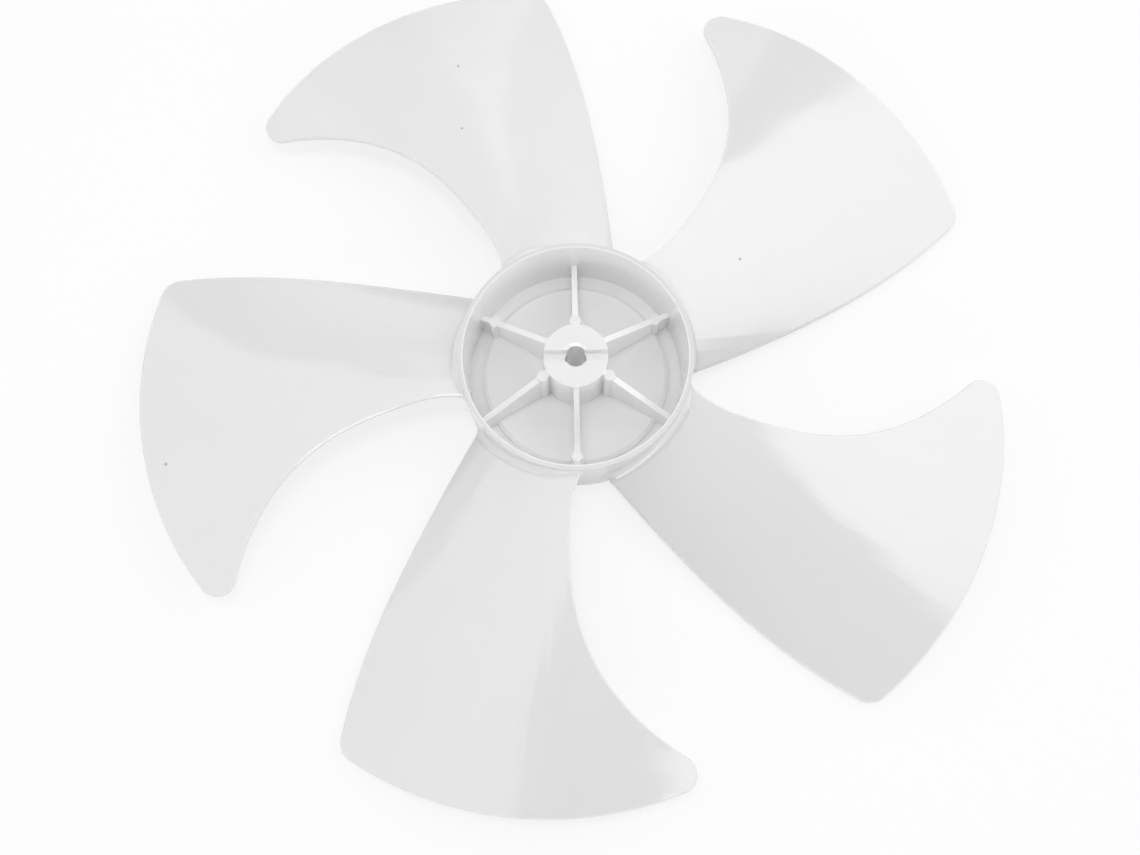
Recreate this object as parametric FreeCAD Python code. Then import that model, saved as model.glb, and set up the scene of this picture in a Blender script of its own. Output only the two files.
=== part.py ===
"""Impeller of a pedestal fan: sickle blades on an open hub, moulded in one piece of polypropylene.

Z is the shaft axis and points to the motor side, where the hub is open. Z = 0 is the front of the
hub: the impeller rests on it, and its nut is tightened against it. Seen from the motor side the
impeller turns anticlockwise, so a blade's angles and offsets are positive towards its leading edge.
Lengths are in millimetres and angles in degrees.
"""
import FreeCAD
import Part

import math
import os

# Blades: how far they reach, which way the first one points, and the rounding of their outline
SWEPT_DIAMETER = 345.0
BLADE_COUNT = 5
FIRST_BLADE_ANGLE = 180.0
CORNER_ROUND = 8.0
TIP_ROUND = 7.0

# Blade outline in plan: angles from the blade's axis, at shares of the span from the hub outwards
TRAILING_ROOT_ANGLE = -40.0
TRAILING_EDGE = ((0.09, -33.9), (0.30, -26.6), (0.55, -21.6))
TRAILING_CORNER = (0.997, -14.2)
OUTER_EDGE_CREST = (1.0, 1.0)
TIP = (0.935, 36.0)
LEADING_EDGE = ((0.74, 27.4), (0.57, 21.2), (0.40, 17.2), (0.21, 15.3), (0.08, 15.8))
LEADING_ROOT_ANGLE = 21.0

# Blade section on the blade's axis, at the hub and at the tip
ROOT_DROP = 6.5
TIP_HEIGHT = 11.0
ROOT_PITCH = 17.0
TIP_PITCH = 7.5
ROOT_CAMBER_RADIUS = 100.0
TIP_CAMBER_RADIUS = 550.0
ROOT_THICKNESS = 2.6
TIP_THICKNESS = 1.8
EDGE_CHAMFER = 0.6

# Hub: a cup that stands on a ring round the recess in its front
HUB_DIAMETER = 90.0
HUB_HEIGHT = 33.0
HUB_WALL = 2.4
RIM_WALL = 1.9
HUB_FLOOR = 2.2
FRONT_CHAMFER = 3.0
FRONT_RING = 10.0
RECESS_DEPTH = 3.0
STEP_CHAMFER = 1.5

# Boss on the motor shaft, with a slot for the pin that drives the impeller
SHAFT_DIAMETER = 8.0
SHAFT_CLEARANCE = 0.1
LEAD_IN = 1.0
BOSS_DIAMETER = 25.0
BOSS_DROP = 2.0
PIN_DIAMETER = 4.0
PIN_CLEARANCE = 0.3
PIN_SLOT_DEPTH = 5.0

# Ribs from the boss to the wall, with ejector pads by turns at the wall and at the boss
RIB_COUNT = 6
FIRST_RIB_ANGLE = 90.0
RIB_THICKNESS = 2.2
RIB_BOSS_DROP = 1.0
RIB_WALL_HEIGHT = 14.0
PAD_DIAMETER = 4.4
PAD_WALL_GAP = 4.0
PAD_RISE = 0.3

HUB_RADIUS = HUB_DIAMETER / 2
TIP_RADIUS = SWEPT_DIAMETER / 2
WALL_MIDDLE = HUB_RADIUS - RIM_WALL / 2
RECESS_RADIUS = HUB_RADIUS - FRONT_RING
RECESS_FLOOR = RECESS_DEPTH + HUB_FLOOR
STEP_RADIUS = RECESS_RADIUS + HUB_FLOOR
BOSS_RADIUS = BOSS_DIAMETER / 2
BOSS_HEIGHT = HUB_HEIGHT - BOSS_DROP
RIB_BOSS_HEIGHT = BOSS_HEIGHT - RIB_BOSS_DROP
BORE_RADIUS = SHAFT_DIAMETER / 2 + SHAFT_CLEARANCE

# Skin that a blade is cut from: where its sections lie, as shares of the span, and how wide they are.
# It runs past the blade on all sides, so that the outline cuts it all round.
SKIN_SHARES = (-0.3, -0.02, 0.26, 0.54, 0.82, 1.1)
SKIN_ROOT_REACH = 0.9 * HUB_RADIUS
SKIN_TRAILING_REACH = 0.35 * TIP_RADIUS
SKIN_LEADING_REACH = 0.75 * TIP_RADIUS

# What counts as the same place, and the least upward share of a motor-side face's normal
TOLERANCE = 1e-6
STEEPEST_BLADE = 0.5
ORIGIN = FreeCAD.Vector(0, 0, 0)
UP = FreeCAD.Vector(0, 0, 1)


def polar(radius, angle):
    """Point of the plan at a radius and an angle from X."""
    radians = math.radians(angle)
    return FreeCAD.Vector(radius * math.cos(radians), radius * math.sin(radians), 0)


def between(root, tip, share):
    """Value at a share of the span, from its values at the hub and at the tip."""
    return root + (tip - root) * share


def turned(shape, angle):
    """Copy of the shape, turned about the shaft axis."""
    copy = shape.copy()
    copy.rotate(ORIGIN, UP, angle)
    return copy


def ring_of(shape, count, first_angle):
    """Copies of the shape, evenly spaced about the shaft axis."""
    return [turned(shape, first_angle + 360 * i / count) for i in range(count)]


def radius_of(point):
    """Distance of a point from the shaft axis."""
    return math.hypot(point.x, point.y)


def ends_of(edge):
    """Points at the ends of an edge."""
    return [vertex.Point for vertex in edge.Vertexes]


def blade_outline():
    """Upright prism over the blade's plan form, up to the hub's rim, with corner and tip rounded."""
    def outline_point(place):
        share, angle = place
        return polar(between(HUB_RADIUS, TIP_RADIUS, share), angle)

    def spline(points):
        curve = Part.BSplineCurve()
        curve.interpolate(points)
        return curve.toShape()

    def edge_over(solid, point):
        return [
            edge for edge in solid.Edges
            if all(math.isclose(radius_of(end - point), 0, abs_tol=TOLERANCE) for end in ends_of(edge))
        ]

    trailing_root = polar(WALL_MIDDLE, TRAILING_ROOT_ANGLE)
    leading_root = polar(WALL_MIDDLE, LEADING_ROOT_ANGLE)
    corner = outline_point(TRAILING_CORNER)
    tip = outline_point(TIP)
    edges = [
        spline([trailing_root] + [outline_point(place) for place in TRAILING_EDGE] + [corner]),
        Part.Arc(corner, outline_point(OUTER_EDGE_CREST), tip).toShape(),
        spline([tip] + [outline_point(place) for place in LEADING_EDGE] + [leading_root]),
        Part.Arc(leading_root, polar(WALL_MIDDLE, 0), trailing_root).toShape(),
    ]
    prism = Part.Face(Part.Wire(edges)).extrude(UP * 2 * HUB_HEIGHT)
    prism.translate(UP * -HUB_HEIGHT)
    prism = prism.makeFillet(CORNER_ROUND, edge_over(prism, corner))
    return prism.makeFillet(TIP_ROUND, edge_over(prism, tip))


def blade_section(share):
    """Closed section across the blade's axis: two arcs about one centre, wider than the blade."""
    out = between(HUB_RADIUS, TIP_RADIUS, share)
    height = between(HUB_HEIGHT - ROOT_DROP, TIP_HEIGHT, share)
    pitch = math.radians(between(ROOT_PITCH, TIP_PITCH, share))
    camber = 1 / between(1 / ROOT_CAMBER_RADIUS, 1 / TIP_CAMBER_RADIUS, share)
    thickness = between(ROOT_THICKNESS, TIP_THICKNESS, share)
    trailing_reach = between(SKIN_ROOT_REACH, SKIN_TRAILING_REACH, share)
    leading_reach = between(SKIN_ROOT_REACH, SKIN_LEADING_REACH, share)
    centre = FreeCAD.Vector(out, camber * math.sin(pitch), height - camber * math.cos(pitch))

    def arc_points(radius):
        offsets = (-trailing_reach, 0, leading_reach)
        leans = [math.asin((offset - centre.y) / camber) for offset in offsets]
        return [centre + FreeCAD.Vector(0, math.sin(a), math.cos(a)) * radius for a in leans]

    upper = arc_points(camber + thickness / 2)
    lower = arc_points(camber - thickness / 2)
    edges = [
        Part.Arc(*upper).toShape(),
        Part.makeLine(upper[2], lower[2]),
        Part.Arc(*reversed(lower)).toShape(),
        Part.makeLine(lower[0], upper[0]),
    ]
    return Part.Wire(edges)


def blade():
    """One blade along X: a twisted, cambered skin, cut to the blade's outline."""
    skin = Part.makeLoft([blade_section(share) for share in SKIN_SHARES], True, False)
    return skin.common(blade_outline()).Solids[0]


def motor_side_edges(body):
    """Edges of the blades on the motor side, apart from their roots on the hub's wall."""
    def faces_motor(face):
        u_first, u_last, v_first, v_last = face.ParameterRange
        return face.normalAt((u_first + u_last) / 2, (v_first + v_last) / 2).z > STEEPEST_BLADE

    def leaves_wall(edge):
        reach = max(radius_of(end) for end in ends_of(edge))
        return not math.isclose(reach, HUB_RADIUS, abs_tol=TOLERANCE)

    skins = [face for face in body.Faces if isinstance(face.Surface, Part.BSplineSurface)]
    return [edge for face in skins if faces_motor(face) for edge in face.Edges if leaves_wall(edge)]


def cup():
    """Cup and boss, turned from one profile."""
    profile = [
        (0, 0),
        (BOSS_RADIUS, 0),
        (BOSS_RADIUS, RECESS_DEPTH),
        (RECESS_RADIUS, RECESS_DEPTH),
        (RECESS_RADIUS, 0),
        (HUB_RADIUS - FRONT_CHAMFER, 0),
        (HUB_RADIUS, FRONT_CHAMFER),
        (HUB_RADIUS, HUB_HEIGHT),
        (HUB_RADIUS - RIM_WALL, HUB_HEIGHT),
        (HUB_RADIUS - HUB_WALL, HUB_FLOOR),
        (STEP_RADIUS, HUB_FLOOR),
        (STEP_RADIUS, RECESS_FLOOR - STEP_CHAMFER),
        (STEP_RADIUS - STEP_CHAMFER, RECESS_FLOOR),
        (BOSS_RADIUS, RECESS_FLOOR),
        (BOSS_RADIUS, BOSS_HEIGHT),
        (0, BOSS_HEIGHT),
        (0, 0),
    ]
    wire = Part.makePolygon([FreeCAD.Vector(radius, 0, height) for radius, height in profile])
    return Part.Face(wire).revolve(ORIGIN, UP, 360)


def rib():
    """One rib along X, from the boss to the wall, with its foot in the floor and in the groove."""
    boss_end = BOSS_RADIUS - RIB_THICKNESS / 2
    step_middle = STEP_RADIUS - HUB_FLOOR / 2
    recess_foot = RECESS_FLOOR - HUB_FLOOR / 2
    groove_foot = HUB_FLOOR / 2
    profile = [
        (boss_end, RIB_BOSS_HEIGHT),
        (boss_end, recess_foot),
        (step_middle, recess_foot),
        (step_middle, groove_foot),
        (WALL_MIDDLE, groove_foot),
        (WALL_MIDDLE, RIB_WALL_HEIGHT),
        (boss_end, RIB_BOSS_HEIGHT),
    ]
    side = -RIB_THICKNESS / 2
    wire = Part.makePolygon([FreeCAD.Vector(radius, side, height) for radius, height in profile])
    return Part.Face(wire).extrude(FreeCAD.Vector(0, RIB_THICKNESS, 0))


def pad(radius):
    """Round ejector pad on a rib along X, standing a little above the rib's sloping top."""
    share = (radius - BOSS_RADIUS) / (WALL_MIDDLE - BOSS_RADIUS)
    top = between(RIB_BOSS_HEIGHT, RIB_WALL_HEIGHT, share) + PAD_RISE
    foot = RECESS_FLOOR - HUB_FLOOR / 2
    return Part.makeCylinder(PAD_DIAMETER / 2, top - foot, FreeCAD.Vector(radius, 0, foot))


def pads():
    """Ejector pads: beside the boss on every second rib, near the wall on the others."""
    near_boss = BOSS_RADIUS + PAD_DIAMETER / 2
    near_wall = HUB_RADIUS - HUB_WALL - PAD_WALL_GAP - PAD_DIAMETER / 2
    half = RIB_COUNT // 2
    next_rib_angle = FIRST_RIB_ANGLE + 360 / RIB_COUNT
    return ring_of(pad(near_boss), half, FIRST_RIB_ANGLE) + ring_of(pad(near_wall), half, next_rib_angle)


def shaft_cuts():
    """Bore with a lead-in on the motor side, and the pin's slot across the boss."""
    bore = Part.makeCylinder(BORE_RADIUS, BOSS_HEIGHT)
    lead_in = Part.makeCone(BORE_RADIUS, BORE_RADIUS + LEAD_IN, LEAD_IN, UP * (BOSS_HEIGHT - LEAD_IN))
    width = PIN_DIAMETER + 2 * PIN_CLEARANCE
    corner = FreeCAD.Vector(-BOSS_RADIUS, -width / 2, BOSS_HEIGHT - PIN_SLOT_DEPTH)
    slot = Part.makeBox(BOSS_DIAMETER, width, PIN_SLOT_DEPTH, corner)
    return [bore, lead_in, slot]


def impeller():
    """Hub and blades as the one solid that is moulded."""
    ribs = ring_of(rib(), RIB_COUNT, FIRST_RIB_ANGLE)
    blades = ring_of(blade(), BLADE_COUNT, FIRST_BLADE_ANGLE)
    body = cup().fuse(ribs + pads() + blades).removeSplitter().Solids[0]
    body = body.makeChamfer(EDGE_CHAMFER, motor_side_edges(body)).Solids[0]
    return body.cut(shaft_cuts()).Solids[0]


def main():
    os.makedirs("parts", exist_ok=True)
    impeller().exportStep(os.path.join("parts", "fan_blade.step"))


if __name__ == "__main__":
    main()
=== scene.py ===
"""Dress a moulded fan blade in natural white plastic, and set it on a pale studio floor.

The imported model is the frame: metres, Z along the shaft, the open motor side up, resting at Z = 0.
"""
import math
from typing import NamedTuple

import bpy
from bpy.props import FloatProperty, FloatVectorProperty, PointerProperty
from mathutils import Matrix, Vector
from mathutils.bvhtree import BVHTree


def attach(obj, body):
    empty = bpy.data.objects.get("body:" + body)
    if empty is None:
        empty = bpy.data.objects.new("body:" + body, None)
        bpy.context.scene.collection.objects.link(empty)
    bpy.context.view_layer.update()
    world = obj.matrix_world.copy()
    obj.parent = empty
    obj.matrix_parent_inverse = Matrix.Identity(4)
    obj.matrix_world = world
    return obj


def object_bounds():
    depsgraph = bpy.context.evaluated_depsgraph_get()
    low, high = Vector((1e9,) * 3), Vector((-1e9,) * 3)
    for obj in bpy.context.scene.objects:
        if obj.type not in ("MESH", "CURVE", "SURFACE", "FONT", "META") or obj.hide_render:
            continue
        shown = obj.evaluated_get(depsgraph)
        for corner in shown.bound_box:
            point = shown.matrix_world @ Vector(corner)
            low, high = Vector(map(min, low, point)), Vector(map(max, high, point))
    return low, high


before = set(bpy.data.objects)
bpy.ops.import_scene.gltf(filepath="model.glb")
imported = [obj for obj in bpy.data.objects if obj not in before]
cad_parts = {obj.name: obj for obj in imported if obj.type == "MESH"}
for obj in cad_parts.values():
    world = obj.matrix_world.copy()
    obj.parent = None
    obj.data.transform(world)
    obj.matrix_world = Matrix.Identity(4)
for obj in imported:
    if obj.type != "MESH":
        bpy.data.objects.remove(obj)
CAD_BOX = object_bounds()

bl_info = {
    "name": "Fan Blade",
    "version": (1, 0, 0),
    "blender": (4, 5, 0),
    "location": "3D View > Sidebar > Fan Blade",
    "description": "Dresses a moulded fan blade and sets it on a studio floor",
    "category": "Object",
}

BODY = "root"
BLADE_NODE = "fan_blade"
FILLETS = "root_fillets"
PLASTIC = "natural_polypropylene"

QUARTER_TURN = math.pi / 2

# Hub and blades, as they are packed
HUB_RADIUS = 0.045
RIM_HEIGHT = CAD_BOX[1][2]
BLADE_COUNT = 5
FIRST_BLADE = math.pi

# A blade's root ends between its axis and each of these angles, which lie in the open gaps
TRAILING_GAP = math.radians(-45)
LEADING_GAP = math.radians(26)

# Steps of a fillet's mesh along a side of the root, round an edge of it, and across the arc
SIDE_STEPS = 40
EDGE_STEPS = 10
ARC_STEPS = 8
SHARP_ANGLE = math.radians(60)

# Depths in the hub's wall at which the rim's colour starts and is full; inside them the pocket gets a
# lighter colour, painted light for light through the wall
RIM_START = 0.0017
RIM_FULL = 0.0011

# Distance from the hub over which the blades' finish fades in
ROOT_FADE = 0.0045

# Patterns in the plastic, by how many fit into a metre
CLOUDS_PER_METRE = 16.0
WAVES_PER_METRE = 22.0
GRAINS_PER_METRE = 900.0
STREAKS_PER_METRE = 9.0
SPECK_CELLS_PER_METRE = 45.0

# How finely the streaks divide the way round the hub
STREAK_SPREAD = 14.0

# What clouds, streaks and grain do to the colour, the roughness and the relief
CLOUD_DETAIL = 2.0
CLOUD_SHARE = 0.6
NOISE_MIDDLE = 0.5
STREAK_ROUGHNESS = 0.06
GRAIN_ROUGHNESS = 0.03
STREAK_RELIEF = 0.25
GRAIN_RELIEF = 0.004

# Specks: the share of cells without one, the radius as a share of a cell, and how strongly one shows
SPECK_FREE_SHARE = 0.86
SPECK_RADIUS = 0.032
SPECK_STRENGTH = 0.6

# Gloss of the plastic, and the share of light that goes under its skin
GLOSS_IOR = 1.65
GLOSS_LEVEL = 1.0
MILKINESS = 0.5

# Share of the light that the floor throws back, and where its shadow starts to fade and is gone
FLOOR_RETURN = 0.8
SHADOW_FADE = 0.25
SHADOW_END = 0.8

# Height on a globe of radius 1 at which the white of the horizon starts to fade and is gone
HORIZON_FADE = 0.1
HORIZON_END = 0.75

# Width of the camera's sensor in millimetres, which the lens is stated for
SENSOR_WIDTH = 36.0


class Softbox(NamedTuple):
    """Rectangular light: its place, its width and height, and the point that it faces."""

    place: tuple
    size: tuple
    aim: tuple = (0.0, 0.0, 0.0)


# The glossy blades mirror the softboxes, so their places set where the bright part of a blade ends
RIGHT_BOX = Softbox(place=(0.719, 0.175, 0.867), size=(1.15, 0.78), aim=(0.053, 0.295, 0.0))
LEFT_BOX = Softbox(place=(-0.66, 0.10, 0.86), size=(1.45, 1.0))
FRONT_BOX = Softbox(place=(0.0, -1.05, 0.38), size=(1.2, 0.22))
BACK_BOX = Softbox(place=(0.483, 1.085, 0.529), size=(1.2, 0.75))
TOP_BOX = Softbox(place=(-0.06, 0.71, 0.835), size=(0.72, 0.53))
HUB_BOX = Softbox(place=(-0.04, -0.025, 0.90), size=(0.32, 0.15), aim=(-0.04, -0.025, 0.0))


def opaque(colour, brightness=1.0):
    """Colour at a brightness, with full alpha, as a colour socket wants it."""
    return (*[channel * brightness for channel in colour], 1.0)


class Value:
    """Number that comes out of a shader node: maths on it adds Math nodes."""

    def __init__(self, graph, socket):
        self.graph = graph
        self.socket = socket

    def maths(self, operation, *numbers):
        """Result of a Math node with these numbers as its inputs."""
        node = self.graph.add("ShaderNodeMath", {"operation": operation}, dict(enumerate(numbers)))
        return Value(self.graph, node.outputs[0])

    def __add__(self, other):
        return self.maths("ADD", self, other)

    def __radd__(self, other):
        return self.maths("ADD", other, self)

    def __sub__(self, other):
        return self.maths("SUBTRACT", self, other)

    def __rsub__(self, other):
        return self.maths("SUBTRACT", other, self)

    def __mul__(self, other):
        return self.maths("MULTIPLY", self, other)

    def __rmul__(self, other):
        return self.maths("MULTIPLY", other, self)

    def __gt__(self, other):
        return self.maths("GREATER_THAN", self, other)

    def __lt__(self, other):
        return self.maths("LESS_THAN", self, other)

    def or_more(self, other):
        """The larger of the two."""
        return self.maths("MAXIMUM", self, other)


class Graph:
    """Node tree of a material or of the world, emptied to start with."""

    def __init__(self, owner):
        owner.use_nodes = True
        self.tree = owner.node_tree
        self.tree.nodes.clear()

    def add(self, kind, settings=None, sockets=None):
        """New node: its settings come first, then the values or links of its sockets."""
        node = self.tree.nodes.new(kind)
        for name, setting in (settings or {}).items():
            setattr(node, name, setting)
        for key, value in (sockets or {}).items():
            self.feed(node.inputs[key], value)
        return node

    def feed(self, socket, value):
        """Link a socket to a value or to another socket, or set it to a constant."""
        if isinstance(value, Value):
            value = value.socket
        if isinstance(value, bpy.types.NodeSocket):
            self.tree.links.new(value, socket)
        else:
            socket.default_value = value

    def value(self, node, output=0):
        """Output of a node, ready for maths."""
        return Value(self, node.outputs[output])

    def shader(self, kind, sockets):
        """Shader that comes out of a new node."""
        return self.add(kind, None, sockets).outputs[0]

    def vector(self, operation, *vectors):
        """Vector from a Vector Math node with these vectors as its inputs."""
        node = self.add("ShaderNodeVectorMath", {"operation": operation}, dict(enumerate(vectors)))
        return node.outputs[0]

    def length(self, vector):
        """Length of a vector."""
        node = self.add("ShaderNodeVectorMath", {"operation": "LENGTH"}, {0: vector})
        return self.value(node, "Value")

    def noise(self, vector, scale=1.0, detail=1.0):
        """Cloudy value from 0 to 1 over the points of a vector."""
        sockets = {"Vector": vector, "Scale": scale, "Detail": detail}
        return self.value(self.add("ShaderNodeTexNoise", None, sockets), "Fac")

    def ramp(self, value, low, high):
        """0 below the low value, 1 above the high one, and a soft rise between them."""
        node = self.add(
            "ShaderNodeMapRange", {"interpolation_type": "SMOOTHSTEP"},
            {"Value": value, "From Min": low, "From Max": high},
        )
        return self.value(node)

    def blend(self, factor, first, second):
        """Colour between two colours."""
        settings = {"data_type": "RGBA"}
        node = self.add("ShaderNodeMix", settings, {0: factor, 6: first, 7: second})
        return node.outputs[2]

    def seen(self):
        """1 where the eye looks, straight, in a mirror or through glass, and 0 for other light."""
        path = self.add("ShaderNodeLightPath")
        straight = self.value(path, "Is Camera Ray")
        mirrored = self.value(path, "Is Glossy Ray")
        through = self.value(path, "Is Transmission Ray")
        return straight.or_more(mirrored).or_more(through)


class FanBladePlastic(bpy.types.PropertyGroup):
    """Natural white polypropylene: its colours, with painted light in the hub's pocket, and its finish.
    """

    dense_colour: FloatVectorProperty(
        name="Dense colour", description="Blade where the melt packed tight",
        subtype="COLOR", size=3, min=0, max=1, default=(0.865, 0.865, 0.865),
    )
    thin_colour: FloatVectorProperty(
        name="Thin colour", description="Blade where the melt ran thin",
        subtype="COLOR", size=3, min=0, max=1, default=(0.828, 0.831, 0.833),
    )
    # Painted light: the pocket inside the hub is lighter than the plastic, standing in for light
    # through the translucent wall and bouncing round the hollow
    pocket_painted_light_colour: FloatVectorProperty(
        name="Pocket colour", description="Plastic inside the hub's wall",
        subtype="COLOR", size=3, min=0, max=1, default=(0.985, 0.985, 0.983),
    )
    rim_colour: FloatVectorProperty(
        name="Rim colour", description="Plastic at the hub's rim and outside its wall",
        subtype="COLOR", size=3, min=0, max=1, default=(0.82, 0.82, 0.82),
    )
    speck_colour: FloatVectorProperty(
        name="Speck colour", description="Burnt grains that the melt carried along",
        subtype="COLOR", size=3, min=0, max=1, default=(0.30, 0.28, 0.26),
    )
    roughness: FloatProperty(
        name="Roughness", description="Roughness of the moulded skin",
        subtype="FACTOR", min=0, max=1, default=0.12,
    )
    waviness: FloatProperty(
        name="Waviness", description="Height of the slow waves in the moulded skin",
        unit="LENGTH", min=0, default=0.0006,
    )
    depth: FloatProperty(
        name="Light depth", description="How far light spreads under the skin",
        unit="LENGTH", min=0, default=0.0008,
    )


class FanBladeFillets(bpy.types.PropertyGroup):
    """Fillets where the blades spring from the hub."""

    radius: FloatProperty(
        name="Fillet radius", description="Radius of the fillet round a blade's root",
        unit="LENGTH", min=0.0005, max=0.005, default=0.003,
    )
    rim_gap: FloatProperty(
        name="Gap to the rim", description="Least height between a fillet and the hub's rim",
        unit="LENGTH", min=0, default=0.0003,
    )
    sink: FloatProperty(
        name="Sink", description="How deep a fillet is rooted in the wall and in the blade",
        unit="LENGTH", min=0.0001, max=0.001, default=0.0005,
    )


class FanBladeStage(bpy.types.PropertyGroup):
    """Floor, light and camera."""

    floor_size: FloatProperty(
        name="Floor size", description="Width of the floor",
        unit="LENGTH", min=1, default=12.0,
    )
    floor_colour: FloatVectorProperty(
        name="Floor colour", description="Colour of the floor and of the air above it",
        subtype="COLOR", size=3, min=0, max=1, default=(1.0, 1.0, 1.0),
    )
    shadow: FloatProperty(
        name="Shadow", description="Share of the floor's brightness that a shadow can take",
        subtype="FACTOR", min=0, max=1, default=0.25,
    )
    sky: FloatProperty(
        name="Sky", description="Brightness of the air overhead, beside a horizon of 1",
        min=0, default=0.25,
    )
    right_power: FloatProperty(
        name="Right light", description="Power of the softbox on the right",
        unit="POWER", min=0, default=3.3,
    )
    left_power: FloatProperty(
        name="Left light", description="Power of the softbox on the left",
        unit="POWER", min=0, default=2.5,
    )
    front_power: FloatProperty(
        name="Front light", description="Power of the low softbox in front",
        unit="POWER", min=0, default=1.2,
    )
    back_power: FloatProperty(
        name="Back light", description="Power of the low softbox beyond the blades",
        unit="POWER", min=0, default=1.1,
    )
    top_power: FloatProperty(
        name="Top light", description="Power of the small softbox overhead, beyond the hub",
        unit="POWER", min=0, default=0.45,
    )
    hub_power: FloatProperty(
        name="Hub light", description="Power of the small softbox straight above the hub",
        unit="POWER", min=0, default=1.8,
    )
    tilt: FloatProperty(
        name="Camera tilt", description="Lean of the view from the shaft's axis",
        subtype="ANGLE", default=math.radians(13.70),
    )
    roll: FloatProperty(
        name="Camera roll", description="Turn of the picture about the view",
        subtype="ANGLE", default=math.radians(0.89),
    )
    distance: FloatProperty(
        name="Camera distance", description="From the camera to the aim",
        unit="LENGTH", min=0, default=0.5092,
    )
    lens: FloatProperty(
        name="Lens", description="Focal length",
        unit="CAMERA", min=1, default=39.64,
    )
    aim: FloatVectorProperty(
        name="Aim", description="Middle of the picture, right and up from the shaft's axis",
        size=2, unit="LENGTH", default=(-0.00234, -0.02018),
    )


def make_plastic(look):
    """Natural polypropylene: cloudy along the melt's flow, a few specks, a soft wavy gloss."""
    material = bpy.data.materials.new(PLASTIC)
    graph = Graph(material)
    place = graph.add("ShaderNodeTexCoord").outputs["Object"]
    flat = graph.vector("MULTIPLY", place, (1.0, 1.0, 0.0))
    radius = graph.length(flat)
    blade_share = graph.ramp(radius, HUB_RADIUS, HUB_RADIUS + ROOT_FADE)
    streaks = graph.noise(flow_coordinates(graph, flat, radius), detail=CLOUD_DETAIL)
    marks = (streaks - NOISE_MIDDLE) * blade_share
    grain = graph.noise(place, GRAINS_PER_METRE)
    uneven = marks * STREAK_ROUGHNESS + (grain - NOISE_MIDDLE) * GRAIN_ROUGHNESS

    waves = graph.noise(place, WAVES_PER_METRE)
    relief = waves + marks * STREAK_RELIEF + grain * GRAIN_RELIEF
    bump = graph.add(
        "ShaderNodeBump", None, {"Strength": 1.0, "Distance": look.waviness, "Height": relief}
    )
    shader = graph.add("ShaderNodeBsdfPrincipled", {"subsurface_method": "RANDOM_WALK"}, {
        "Base Color": plastic_colour(graph, look, place, radius, streaks, blade_share),
        "Roughness": look.roughness + uneven,
        "IOR": GLOSS_IOR,
        "Specular IOR Level": GLOSS_LEVEL,
        "Subsurface Weight": MILKINESS,
        "Subsurface Radius": (1.0, 1.0, 1.0),
        "Subsurface Scale": look.depth,
        "Normal": bump.outputs["Normal"],
    })
    graph.add("ShaderNodeOutputMaterial", None, {"Surface": shader.outputs["BSDF"]})
    return material


def plastic_colour(graph, look, place, radius, streaks, blade_share):
    """Cloudy blades with a few specks, a rim, and a pocket inside the hub painted lighter, as painted
    light for light through its wall.
    """
    clouds = graph.noise(place, CLOUDS_PER_METRE, CLOUD_DETAIL)
    flow = clouds * CLOUD_SHARE + streaks * (1 - CLOUD_SHARE)
    blade_colour = graph.blend(flow, opaque(look.dense_colour), opaque(look.thin_colour))
    # The pocket's lighter colour is painted light for light through the hub's wall, not the plastic's
    # own colour
    rim_share = graph.ramp(radius, HUB_RADIUS - RIM_START, HUB_RADIUS - RIM_FULL)
    hub_colour_with_painted_light = graph.blend(rim_share, opaque(look.pocket_painted_light_colour), opaque(look.rim_colour))
    colour = graph.blend(blade_share, hub_colour_with_painted_light, blade_colour)
    return graph.blend(specks(graph, place) * blade_share, colour, opaque(look.speck_colour))


def flow_coordinates(graph, flat, radius):
    """Points whose noise runs in long streaks from the hub outwards, as the melt flowed."""
    heading = graph.vector("NORMALIZE", flat)
    spread = graph.vector("MULTIPLY", heading, (STREAK_SPREAD, STREAK_SPREAD, STREAK_SPREAD))
    along = graph.add("ShaderNodeCombineXYZ", None, {"Z": radius * STREAKS_PER_METRE})
    return graph.vector("ADD", spread, along.outputs[0])


def specks(graph, place):
    """Strength of a speck on a few small grains, a long way apart, and 0 elsewhere."""
    sockets = {"Vector": place, "Scale": SPECK_CELLS_PER_METRE}
    cells = graph.add("ShaderNodeTexVoronoi", {"feature": "F1"}, sockets)
    lot = graph.add("ShaderNodeSeparateColor", None, {"Color": cells.outputs["Color"]})
    chosen = graph.value(lot, "Red") > SPECK_FREE_SHARE
    near = graph.value(cells, "Distance") < SPECK_RADIUS
    return chosen * near * SPECK_STRENGTH


def make_floor_material(stage):
    """Floor that looks white and keeps the shadow near the object, and lights it as a pale one does."""
    material = bpy.data.materials.new("studio_floor")
    graph = Graph(material)
    white = opaque(stage.floor_colour)
    lit = graph.shader("ShaderNodeBsdfDiffuse", {"Color": opaque(stage.floor_colour, FLOOR_RETURN)})
    shaded = graph.shader("ShaderNodeBsdfDiffuse", {"Color": opaque(stage.floor_colour, stage.shadow)})
    glow = graph.shader("ShaderNodeEmission", {"Color": white, "Strength": 1 - stage.shadow})
    near = graph.shader("ShaderNodeAddShader", {0: shaded, 1: glow})
    far = graph.shader("ShaderNodeEmission", {"Color": white, "Strength": 1.0})
    distance = graph.length(graph.add("ShaderNodeTexCoord").outputs["Object"])
    fade = graph.ramp(distance, SHADOW_FADE, SHADOW_END)
    looks = graph.shader("ShaderNodeMixShader", {0: fade, 1: near, 2: far})
    mixed = graph.shader("ShaderNodeMixShader", {0: graph.seen(), 1: lit, 2: looks})
    graph.add("ShaderNodeOutputMaterial", None, {"Surface": mixed})
    return material


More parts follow.
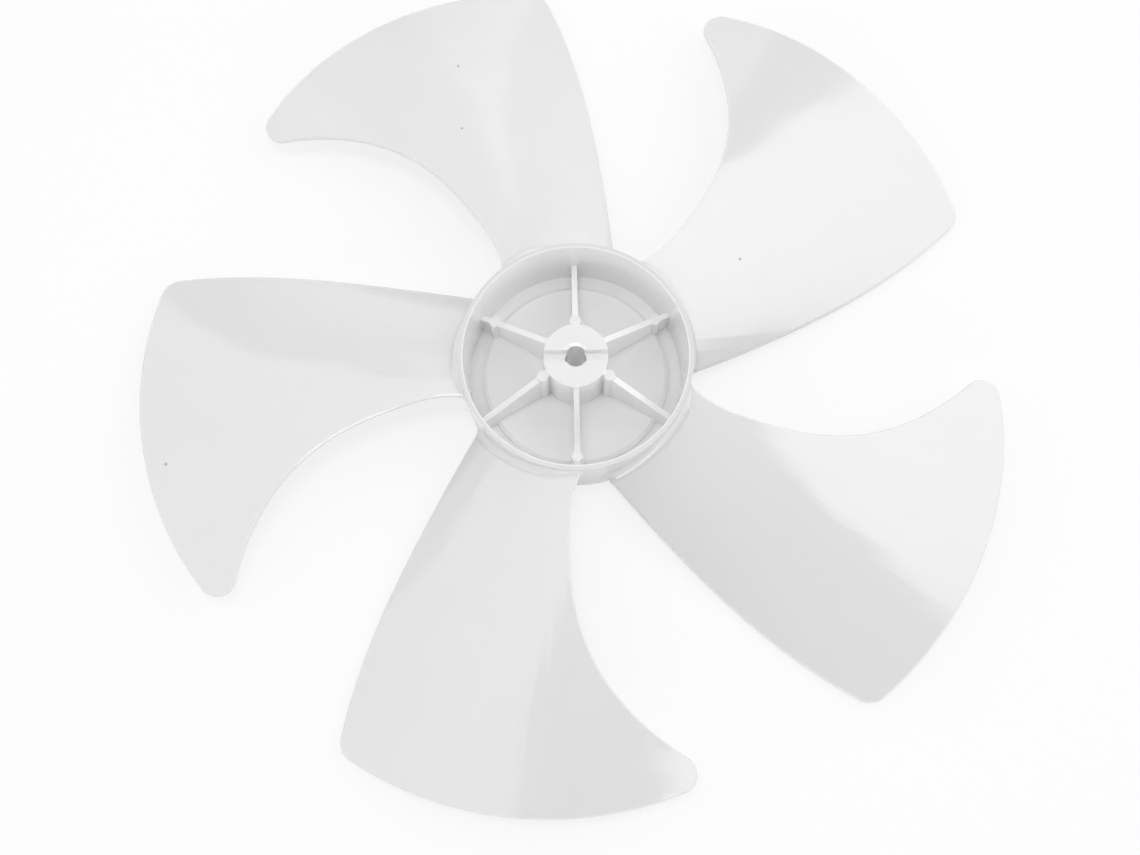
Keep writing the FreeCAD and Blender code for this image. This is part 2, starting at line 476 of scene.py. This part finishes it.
def make_world(stage):
    """Air that is white at the horizon and darker overhead."""
    world = bpy.data.worlds.new("studio_air")
    graph = Graph(world)
    colour = opaque(stage.floor_colour)
    overhead = graph.shader("ShaderNodeBackground", {"Color": colour, "Strength": stage.sky})
    horizon = graph.shader("ShaderNodeBackground", {"Color": colour, "Strength": 1.0})
    heading = graph.add("ShaderNodeTexCoord").outputs["Generated"]
    climb = graph.value(graph.add("ShaderNodeSeparateXYZ", None, {0: heading}), "Z")
    fade = graph.ramp(climb, HORIZON_FADE, HORIZON_END)
    mixed = graph.shader("ShaderNodeMixShader", {0: fade, 1: horizon, 2: overhead})
    graph.add("ShaderNodeOutputWorld", None, {"Surface": mixed})
    return world


class BladeRoot:
    """First blade where it springs from the hub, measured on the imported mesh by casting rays."""

    ray_start = 0.1
    halvings = 16
    wall_clearance = 0.0000225
    slope_reach = 0.05
    mid_level = 0.5

    def __init__(self, mesh):
        corners = [vertex.co for vertex in mesh.vertices]
        self.tree = BVHTree.FromPolygons(corners, [face.vertices for face in mesh.polygons])

    def height(self, radius, angle, side):
        """Height of the upper (1) or lower (-1) skin at an angle from the blade's axis.

        Beside the blade there is none.
        """
        heading = FIRST_BLADE + angle
        across, along = radius * math.cos(heading), radius * math.sin(heading)
        start = Vector((across, along, side * self.ray_start))
        hit = self.tree.ray_cast(start, Vector((0, 0, -side)))[0]
        return None if hit is None else hit.z

    def end(self, radius, gap):
        """Angle of the last point of the blade on the way from its axis to a gap."""
        inside, outside = 0.0, gap
        for _ in range(self.halvings):
            middle = (inside + outside) / 2
            if self.height(radius, middle, 1) is None:
                outside = middle
            else:
                inside = middle
        return inside

    def point(self, radius, share, level):
        """Angle and height of a point of the blade.

        The share goes from the trailing to the leading edge, and the level up through the blade.
        """
        radius = max(radius, HUB_RADIUS + self.wall_clearance)
        trailing, leading = self.end(radius, TRAILING_GAP), self.end(radius, LEADING_GAP)
        angle = trailing + (leading - trailing) * share
        lower, upper = self.height(radius, angle, -1), self.height(radius, angle, 1)
        return angle, lower + (upper - lower) * level

    def slope(self, share):
        """Angle at which the root climbs, on the unrolled wall."""
        before = self.point(HUB_RADIUS, max(share - self.slope_reach, 0.0), self.mid_level)
        after = self.point(HUB_RADIUS, min(share + self.slope_reach, 1.0), self.mid_level)
        return math.atan2(after[1] - before[1], (after[0] - before[0]) * HUB_RADIUS)


def root_stations():
    """Stations round a root: share, level, and the turn from its slope to the way out of it."""
    sides = [i / SIDE_STEPS for i in range(SIDE_STEPS + 1)]
    edges = [i / EDGE_STEPS for i in range(1, EDGE_STEPS)]
    upper = [(side, 1.0, QUARTER_TURN) for side in sides]
    leading = [(1.0, 1 - edge, QUARTER_TURN - math.pi * edge) for edge in edges]
    lower = [(1 - side, 0.0, -QUARTER_TURN) for side in sides]
    trailing = [(0.0, edge, -QUARTER_TURN - math.pi * edge) for edge in edges]
    return upper + leading + lower + trailing


def fillet_section(size, sink):
    """Closed section of a fillet: ways out from the wall and off the blade, from wall to blade."""
    arcs = [QUARTER_TURN * i / ARC_STEPS for i in range(ARC_STEPS + 1)]
    hollow = [(size * (1 - math.cos(arc)), size * (1 - math.sin(arc))) for arc in arcs]
    return [(-sink, size), *hollow, (size, -sink), (-sink, -sink)]


def fillet_columns(root, fillets):
    """Points of the first root's fillet: one closed section at each station."""
    columns = []
    for share, level, turn in root_stations():
        lean = root.slope(share) + turn
        climb = math.sin(lean)
        room = RIM_HEIGHT - fillets.rim_gap - root.point(HUB_RADIUS, share, level)[1]
        size = fillets.radius if climb * fillets.radius < room else room / climb
        column = []
        for out, offset in fillet_section(size, fillets.sink):
            radius = HUB_RADIUS + out
            angle, height = root.point(radius, share, level)
            heading = FIRST_BLADE + angle + offset * math.cos(lean) / radius
            across, along = radius * math.cos(heading), radius * math.sin(heading)
            column.append(Vector((across, along, height + offset * climb)))
        columns.append(column)
    return columns


def add_fillets(root, fillets):
    """One mesh with a closed bead round the root of each blade."""
    columns = fillet_columns(root, fillets)
    across, around = len(columns), len(columns[0])
    points, faces = [], []
    for number in range(BLADE_COUNT):
        first = len(points)
        turn = Matrix.Rotation(math.tau * number / BLADE_COUNT, 3, "Z")
        points += [turn @ point for column in columns for point in column]
        for i in range(across):
            near, far = first + i * around, first + (i + 1) % across * around
            for j in range(around):
                following = (j + 1) % around
                faces.append((near + j, far + j, far + following, near + following))
    mesh = bpy.data.meshes.new(FILLETS)
    mesh.from_pydata(points, [], faces)
    mesh.shade_smooth()
    mesh.set_sharp_from_angle(angle=SHARP_ANGLE)
    return link(bpy.data.objects.new(FILLETS, mesh))


def link(thing):
    """Put an object into the scene."""
    bpy.context.scene.collection.objects.link(thing)
    return thing


def add_floor(stage):
    """Square floor under the object."""
    half = stage.floor_size / 2
    corners = [(-half, -half, 0), (half, -half, 0), (half, half, 0), (-half, half, 0)]
    mesh = bpy.data.meshes.new("floor")
    mesh.from_pydata(corners, [], [(0, 1, 2, 3)])
    mesh.materials.append(make_floor_material(stage))
    return link(bpy.data.objects.new("floor", mesh))


def add_softbox(name, softbox, power):
    """Rectangular light in its place, turned to its aim."""
    light = bpy.data.lights.new(name, "AREA")
    light.shape = "RECTANGLE"
    light.size, light.size_y = softbox.size
    light.energy = power
    box = link(bpy.data.objects.new(name, light))
    box.location = softbox.place
    box.rotation_mode = "QUATERNION"
    view = Vector(softbox.aim) - Vector(softbox.place)
    box.rotation_quaternion = view.to_track_quat("-Z", "Y")


def add_camera(stage):
    """Camera that looks down on the open hub, leaning back a little."""
    right = Vector((1, 0, 0))
    up = Vector((0, math.cos(stage.tilt), math.sin(stage.tilt)))
    back = right.cross(up)
    turn = Matrix.Rotation(-stage.roll, 3, back)
    right, up = turn @ right, turn @ up
    data = bpy.data.cameras.new("camera")
    data.sensor_width = SENSOR_WIDTH
    data.lens = stage.lens
    camera = link(bpy.data.objects.new("camera", data))
    aim = right * stage.aim[0] + up * stage.aim[1]
    turned = Matrix((right, up, back)).transposed().to_4x4()
    camera.matrix_world = Matrix.Translation(aim + back * stage.distance) @ turned
    bpy.context.scene.camera = camera


class FANBLADE_OT_dress(bpy.types.Operator):
    """Give the moulded blade its plastic"""

    bl_idname = "fan_blade.dress"
    bl_label = "Dress Blade"

    def execute(self, context):
        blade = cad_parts[BLADE_NODE]
        blade.data.materials.clear()
        blade.data.materials.append(make_plastic(context.scene.fan_blade_plastic))
        return {"FINISHED"}


class FANBLADE_OT_fillets(bpy.types.Operator):
    """Round the corners where the blades spring from the hub"""

    bl_idname = "fan_blade.fillets"
    bl_label = "Add Root Fillets"

    def execute(self, context):
        root = BladeRoot(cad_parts[BLADE_NODE].data)
        fillets = add_fillets(root, context.scene.fan_blade_fillets)
        fillets.data.materials.append(bpy.data.materials[PLASTIC])
        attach(fillets, BODY)
        return {"FINISHED"}


class FANBLADE_OT_stage(bpy.types.Operator):
    """Lay the floor, and set the light and the camera"""

    bl_idname = "fan_blade.stage"
    bl_label = "Set Stage"

    def execute(self, context):
        stage = context.scene.fan_blade_stage
        floor = add_floor(stage)
        context.scene.world = make_world(stage)
        context.scene.view_settings.view_transform = "Standard"
        lights = (
            ("right_light", RIGHT_BOX, stage.right_power),
            ("left_light", LEFT_BOX, stage.left_power),
            ("front_light", FRONT_BOX, stage.front_power),
            ("back_light", BACK_BOX, stage.back_power),
            ("top_light", TOP_BOX, stage.top_power),
            ("hub_light", HUB_BOX, stage.hub_power),
        )
        for name, softbox, power in lights:
            add_softbox(name, softbox, power)
        add_camera(stage)
        return {"FINISHED"}


class FANBLADE_PT_panel(bpy.types.Panel):
    """Sidebar panel with the steps and their settings"""

    bl_label = "Fan Blade"
    bl_idname = "FANBLADE_PT_panel"
    bl_space_type = "VIEW_3D"
    bl_region_type = "UI"
    bl_category = "Fan Blade"

    def draw(self, context):
        steps = (
            (FANBLADE_OT_dress, context.scene.fan_blade_plastic),
            (FANBLADE_OT_fillets, context.scene.fan_blade_fillets),
            (FANBLADE_OT_stage, context.scene.fan_blade_stage),
        )
        for step, settings in steps:
            box = self.layout.box()
            box.operator(step.bl_idname)
            for name in settings.__annotations__:
                box.prop(settings, name)


CLASSES = (
    FanBladePlastic, FanBladeFillets, FanBladeStage,
    FANBLADE_OT_dress, FANBLADE_OT_fillets, FANBLADE_OT_stage, FANBLADE_PT_panel,
)


def register():
    """Add the classes, and the settings to the scene."""
    for cls in CLASSES:
        bpy.utils.register_class(cls)
    bpy.types.Scene.fan_blade_plastic = PointerProperty(type=FanBladePlastic)
    bpy.types.Scene.fan_blade_fillets = PointerProperty(type=FanBladeFillets)
    bpy.types.Scene.fan_blade_stage = PointerProperty(type=FanBladeStage)


def unregister():
    """Take the settings and the classes away again."""
    del bpy.types.Scene.fan_blade_stage
    del bpy.types.Scene.fan_blade_fillets
    del bpy.types.Scene.fan_blade_plastic
    for cls in reversed(CLASSES):
        bpy.utils.unregister_class(cls)


def main():
    """Run each step."""
    register()
    bpy.ops.fan_blade.dress()
    bpy.ops.fan_blade.fillets()
    bpy.ops.fan_blade.stage()


if __name__ == "__main__":
    main()
